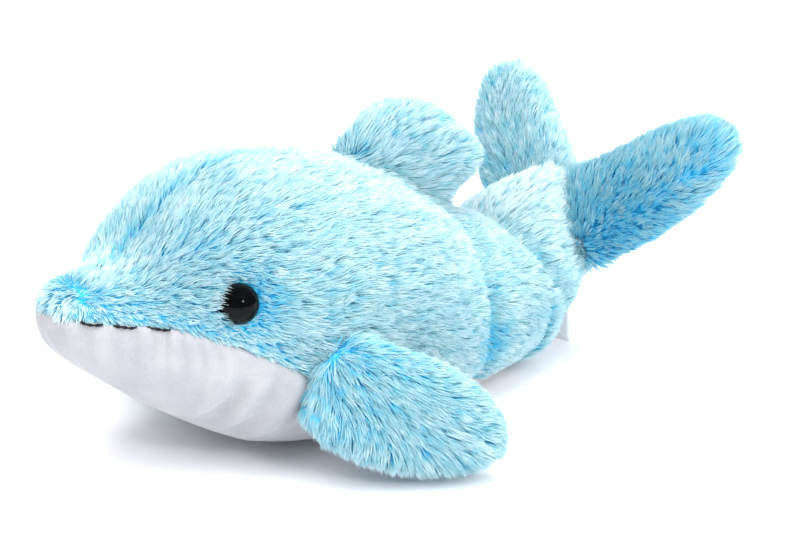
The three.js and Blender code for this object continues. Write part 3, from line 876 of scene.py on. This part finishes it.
def pileLift(body, spots):
    # Strands stand up against a form beside them, at the beak's parting and over the eyes' front edges,
    # and lie flat on the rest of the beak and on leading edges
    points, lift = spots["points"], fur["crowdLift"] * spots["crowd"]
    if body == "body":
        lift += beakPile["flat"] * (1 - ramp(points[:, 1], *beakPile["flatRun"]))
        parted = 1 - ramp(lengthsOf(fromParting(body, points)), 0, beakPile["partingReach"])
        lift += beakPile["partingLift"] * parted
        for middle in eyeMiddles:
            ahead = 1 - ramp(points[:, 1] - middle[1], *eyePile["lashRun"])
            near = 1 - ramp(lengthsOf(points - middle), *eyePile["lashReach"])
            lift += eyePile["lashLift"] * ahead * near
    else:
        leading = np.maximum(0, -spots["normals"] @ unit(np.array(combing[body]["course"])))
        lift += fur["edgeLift"] * leading
    return lift


def layStrands(body, spots, angles, scale):
    # Root, middle and tip of each strand: it leaves at its root's lift and turns evenly to its tip's
    roots, normals = spots["points"], spots["normals"]
    flow = combed(body, spots)
    flow = flow * np.cos(angles)[:, None] + np.cross(normals, flow) * np.sin(angles)[:, None]
    lift, lengths = pileLift(body, spots)[:, None], (pileLength(body, spots) * scale)[:, None]
    start = unit(normals * (fur["rootLift"] + lift) + flow * (1 - fur["rootLift"] / 2))
    end = unit(normals * (fur["tipLift"] + lift) + flow - np.array([0, 0, fur["droop"]]))
    middle = roots + lengths * (start * 0.375 + end * 0.125)
    tip = roots + lengths * (start * 0.5 + end * 0.5)
    return np.stack([roots, middle, tip], 1)


def nearestTuft(tufts, roots):
    finder = KDTree(len(tufts))
    for index, place in enumerate(tufts):
        finder.insert(place, index)
    finder.balance()
    return np.array([finder.find(root)[1] for root in roots])


def plantPile(body):
    spots = survey(body, *scatter(grounds[body], fur["perSquareMm"]))
    kept = plantable(body, spots)
    spots = {name: values[kept] for name, values in spots.items()}
    tufts = survey(body, *scatter(grounds[body], (mm / fur["tuftSpacing"]) ** 2))
    count, tuftCount = len(spots["points"]), len(tufts["points"])
    tuftAngles = fur["waveTurn"] * swirl(tufts["points"], fur["wave"])
    tuftAngles += rng.normal(0, fur["tuftTurn"], tuftCount)
    tuftPaths = layStrands(body, tufts, tuftAngles, rng.uniform(*fur["tuftSpread"], tuftCount))
    # each tuft's own random tone, less the painted shading
    tuftPale = rng.normal(0, fur["tuftPale"], tuftCount) - paintedShadingDepth(body, tufts["points"])
    own = nearestTuft(tufts["points"], spots["points"])
    angles = tuftAngles[own] + rng.normal(0, fur["strandTurn"], count)
    paths = layStrands(body, spots, angles, rng.uniform(*fur["lengthSpread"], count))
    pull = (fur["tuftPull"] * rng.uniform(*fur["pullSpread"], count))[:, None]
    for station, strength in fur["stationPull"]:
        target = tuftPaths[own, station] + fur["apart"] * (spots["points"] - tufts["points"][own])
        paths[:, station] += (target - paths[:, station]) * pull * strength
    pale = np.clip(0.5 + tuftPale[own] + rng.normal(0, fur["strandPale"], count), 0, 1)
    radii = fur["radius"] * rng.uniform(*fur["radiusSpread"], count)
    return paths, radii, pale


def splitPile(paths):
    # Left and right halves, each sliced from nose to tail until every slice is light enough
    parts = {}
    for side, sign in sides:
        half = np.flatnonzero(paths[:, 0, 0] * sign > 0)
        half = half[np.argsort(paths[half, 0, 1], kind="stable")]
        slices = math.ceil(len(half) / fur["mostInPiece"])
        for index, part in enumerate(np.array_split(half, max(slices, 1))):
            parts[f"{side}_pile_{index + 1}"] = part
    return {name: part for name, part in parts.items() if len(part)}


strandCount = 0
for body in furBodies:
    paths, radii, pale = plantPile(body)
    for name, part in splitPile(paths).items():
        mesh = strandMesh(name, paths[part], radii[part], pale[part])
        piece = addPiece(f"{body}_{name}", mesh, pileFinish, flat=True)
        carry(piece, body)
    strandCount += len(paths)
    print("pile planted on", body, len(paths))
print("strands in all", strandCount)


# Eyes: dome, rim and shank, spun about the axis of the eye's own solid

eye = {
    "radius": 7.5 * mm, "height": 8 * mm, "rim": 1.6 * mm, "edge": 0.6 * mm,
    "shank": 2.25 * mm, "shankLength": 9 * mm, "steps": 64, "domeSteps": 12, "weld": 0.005 * mm,
}


def eyeAxis(node, sign):
    # Which way the eye's solid looks, and the middle of its dome's flat underside
    bm = copyOf(node)
    points = np.array([vert.co for vert in bm.verts])
    bm.free()
    centre = points.mean(0)
    spread, axes = np.linalg.eigh(np.cov((points - centre).T))
    axis = axes[:, np.argmax(np.abs(spread - np.median(spread)))]
    axis *= np.sign(axis[0] * sign)
    top = ((points - centre) @ axis).max()
    return Vector(axis), Vector(centre + axis * (top - eye["height"]))


def makeEye(side, sign):
    node = f"{side}_eye"
    axis, base = eyeAxis(node, sign)
    turns = [step / eye["domeSteps"] * math.pi / 2 for step in range(eye["domeSteps"])]
    rise = eye["height"] - eye["rim"]
    profile = [
        (0, -eye["shankLength"]), (eye["shank"], -eye["shankLength"]), (eye["shank"], 0),
        (eye["radius"] - eye["edge"], 0), (eye["radius"], eye["edge"]),
        *((eye["radius"] * math.cos(turn), eye["rim"] + rise * math.sin(turn)) for turn in turns),
        (0, eye["height"]),
    ]
    bm = bmesh.new()
    line = [bm.verts.new((out, 0, up)) for out, up in profile]
    edges = [bm.edges.new(pair) for pair in zip(line, line[1:])]
    bmesh.ops.spin(
        bm, geom=line + edges, cent=(0, 0, 0), axis=(0, 0, 1), angle=2 * math.pi,
        steps=eye["steps"], use_merge=True,
    )
    bmesh.ops.remove_doubles(bm, verts=bm.verts, dist=eye["weld"])
    bmesh.ops.recalc_face_normals(bm, faces=bm.faces)
    turn = Vector((0, 0, 1)).rotation_difference(axis).to_matrix().to_4x4()
    bmesh.ops.transform(bm, matrix=Matrix.Translation(base) @ turn, verts=bm.verts)
    piece = makePiece(f"{side}_safety_eye", bm, eyeFinish)
    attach(piece, "body")
    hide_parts(node)


for side, sign in sides:
    makeEye(side, sign)
    washer = frame["nodes"][f"{side}_eye_washer"]
    washer.data.materials.clear()
    washer.data.materials.append(washerFinish)
print("eyes made")


# Mouth: running stitches in two-ply thread, along the line of the thread's solid

mouth = {
    "ply": 0.3 * mm, "pitch": 12.5 * mm, "stitch": 8.5 * mm, "lay": 5 * mm, "lift": 0.8 * mm, "dip": 0.3 * mm,
    "bare": 8 * mm,         # no stitch shows this near the tip of the nose
    "steps": 28, "bins": 48, "roundness": 2,
    "throat": (0.0, -0.098, 0.06),
}


def threadLine():
    # The middle of the thread's solid as a line of points, and how far along it each one is
    bm = copyOf("mouth_thread")
    points = np.array([vert.co for vert in bm.verts])
    bm.free()
    fan = points - np.array(mouth["throat"])
    turn = np.arctan2(fan[:, 0], -fan[:, 1])
    bins = np.linspace(turn.min(), turn.max(), mouth["bins"] + 1)
    line = np.array([points[(turn >= low) & (turn <= high)].mean(0) for low, high in zip(bins, bins[1:])])
    run = np.concatenate([[0], np.cumsum(lengthsOf(np.diff(line, axis=0)))])
    return line, run


def makeMouth():
    line, run = threadLine()
    data = bpy.data.curves.new("mouth_stitches", "CURVE")
    data.dimensions = "3D"
    data.bevel_depth = mouth["ply"]
    data.bevel_resolution = mouth["roundness"]
    data.use_fill_caps = True
    shares = np.linspace(0, 1, mouth["steps"])
    for start in np.arange(0, run[-1] - mouth["stitch"], mouth["pitch"]):
        at = start + shares * mouth["stitch"]
        path = alongLine(at, run, line)
        if abs(path[:, 0].mean()) < mouth["bare"]:
            continue
        ahead = unit(np.gradient(path, axis=0))
        outward = unit(np.cross(ahead, np.array([0.0, 0.0, 1.0])))
        outward *= np.sign((outward * (path - np.array(mouth["throat"]))).sum(1, keepdims=True))
        upward = np.cross(outward, ahead)
        path = path + outward * (mouth["lift"] * np.sin(math.pi * shares) - mouth["dip"])[:, None]
        for ply in (0, math.pi):
            twist = (ply + 2 * math.pi * at / mouth["lay"])[:, None]
            core = path + mouth["ply"] * (np.cos(twist) * outward + np.sin(twist) * upward)
            spline = data.splines.new("POLY")
            spline.points.add(len(core) - 1)
            spline.points.foreach_set("co", np.column_stack([core, np.ones(len(core))]).ravel())
    thread = bpy.data.objects.new("mouth_curve", data)
    bpy.context.scene.collection.objects.link(thread)
    ready = thread.evaluated_get(bpy.context.evaluated_depsgraph_get())
    piece = addPiece("mouth_stitches", bpy.data.meshes.new_from_object(ready), threadFinish)
    bpy.data.objects.remove(thread)
    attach(piece, "body")
    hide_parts("mouth_thread")


makeMouth()
print("mouth sewn")


# Label: a blank folded ribbon that hangs from the tail to the floor

label = {
    "thickness": 0.5 * mm, "rows": 18, "columns": 12,
    "curl": 1.5 * mm, "bow": 3, "level": 0.6,       # the curl bows across the width, about this level
}


def makeLabel():
    low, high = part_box("sewn_label")
    width, trail, drop = high - low
    bm = bmesh.new()
    bmesh.ops.create_grid(bm, x_segments=label["columns"], y_segments=label["rows"], size=0.5)
    for vert in bm.verts:
        across, share = vert.co.x, vert.co.y + 0.5
        curl = label["curl"] * share * (math.cos(label["bow"] * across) - label["level"])
        vert.co = (
            across * width,
            low.y + trail * share * (2 - share) - curl,
            high.z - drop * share * share,
        )
    bmesh.ops.recalc_face_normals(bm, faces=bm.faces)
    bmesh.ops.solidify(bm, geom=bm.faces, thickness=label["thickness"])
    piece = makePiece("blank_label", bm, ribbonFinish)
    push(piece, 0.0)
    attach(piece, "tail")
    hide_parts("sewn_label")


makeLabel()
print("label made")


# Stage: pale floor, soft lights, and a camera at the photograph's angle

stage = {
    "floor": "#f0f0f4", "floorSheen": "#f4f4f7", "floorRoughness": 0.9, "floorGrain": 3.0, "floorSize": 8.0,
    "azimuth": 50.0, "elevation": 19.5, "distance": 0.96, "target": (0.0, 0.0215, 0.05),
    "lens": 108.0, "sensor": 36.0, "nearest": 0.01,
    "sky": "#f8f9fc",
    "world": 0.98, "mirrored": 0.2,     # brightness of the room, and of what polished pieces mirror of it
    "bounces": 10,                      # pale pile passes light on many times
}
lamps = [
    {"name": "overhead", "place": (0.0, 0.1, 1.6), "size": 1.6, "watts": 25.0, "mirrored": False},
    {"name": "side", "place": (1.25, 0.25, 1.05), "size": 1.2, "watts": 14.5, "mirrored": False},
    {"name": "front", "place": (0.3, -1.0, 1.3), "size": 1.0, "watts": 10.0, "mirrored": False},
    {"name": "spark", "place": (1.3, -0.2, 0.74), "size": 0.24, "watts": 5.0, "mirrored": True},
]


def makeFloor():
    material, tree, shader, where = newMaterial("pale_paper_floor", {"Roughness": stage["floorRoughness"]})
    grain = addNode(tree, "ShaderNodeTexNoise", {}, {"Vector": where, "Scale": stage["floorGrain"]})
    dress(tree, shader, grain.outputs["Fac"], [(0.3, stage["floor"]), (0.7, stage["floorSheen"])])
    bm = bmesh.new()
    bmesh.ops.create_grid(bm, x_segments=1, y_segments=1, size=stage["floorSize"] / 2)
    makePiece("floor", bm, material)


def makeCamera():
    azimuth, elevation = math.radians(stage["azimuth"]), math.radians(stage["elevation"])
    flat = math.cos(elevation)
    back = Vector((math.sin(azimuth) * flat, -math.cos(azimuth) * flat, math.sin(elevation)))
    data = bpy.data.cameras.new("camera")
    data.lens = stage["lens"]
    data.sensor_width = stage["sensor"]
    data.clip_start = stage["nearest"]
    camera = bpy.data.objects.new("camera", data)
    camera.location = Vector(stage["target"]) + back * stage["distance"]
    camera.rotation_euler = (-back).to_track_quat("-Z", "Y").to_euler()
    bpy.context.scene.collection.objects.link(camera)
    bpy.context.scene.camera = camera


def makeLights():
    for lamp in lamps:
        data = bpy.data.lights.new(lamp["name"], "AREA")
        data.shape = "DISK"
        data.size = lamp["size"]
        data.energy = lamp["watts"]
        light = bpy.data.objects.new(lamp["name"], data)
        light.location = lamp["place"]
        light.visible_glossy = lamp["mirrored"]
        aim = Vector(stage["target"]) - Vector(lamp["place"])
        light.rotation_euler = aim.to_track_quat("-Z", "Y").to_euler()
        bpy.context.scene.collection.objects.link(light)
    world = bpy.data.worlds.new("studio")
    world.use_nodes = True
    tree = world.node_tree
    sky = tree.nodes["Background"]
    sky.inputs["Color"].default_value = linear(stage["sky"])
    ray = addNode(tree, "ShaderNodeLightPath")
    strength = addNode(tree, "ShaderNodeMapRange", {}, {
        "Value": ray.outputs["Is Glossy Ray"], 3: stage["world"], 4: stage["mirrored"],
    })
    tree.links.new(strength.outputs["Result"], sky.inputs["Strength"])
    bpy.context.scene.world = world
    bpy.context.scene.view_settings.view_transform = "Standard"
    cycles = bpy.context.scene.cycles
    cycles.max_bounces = cycles.diffuse_bounces = cycles.transmission_bounces = stage["bounces"]


makeFloor()
makeCamera()
makeLights()
print("stage set")
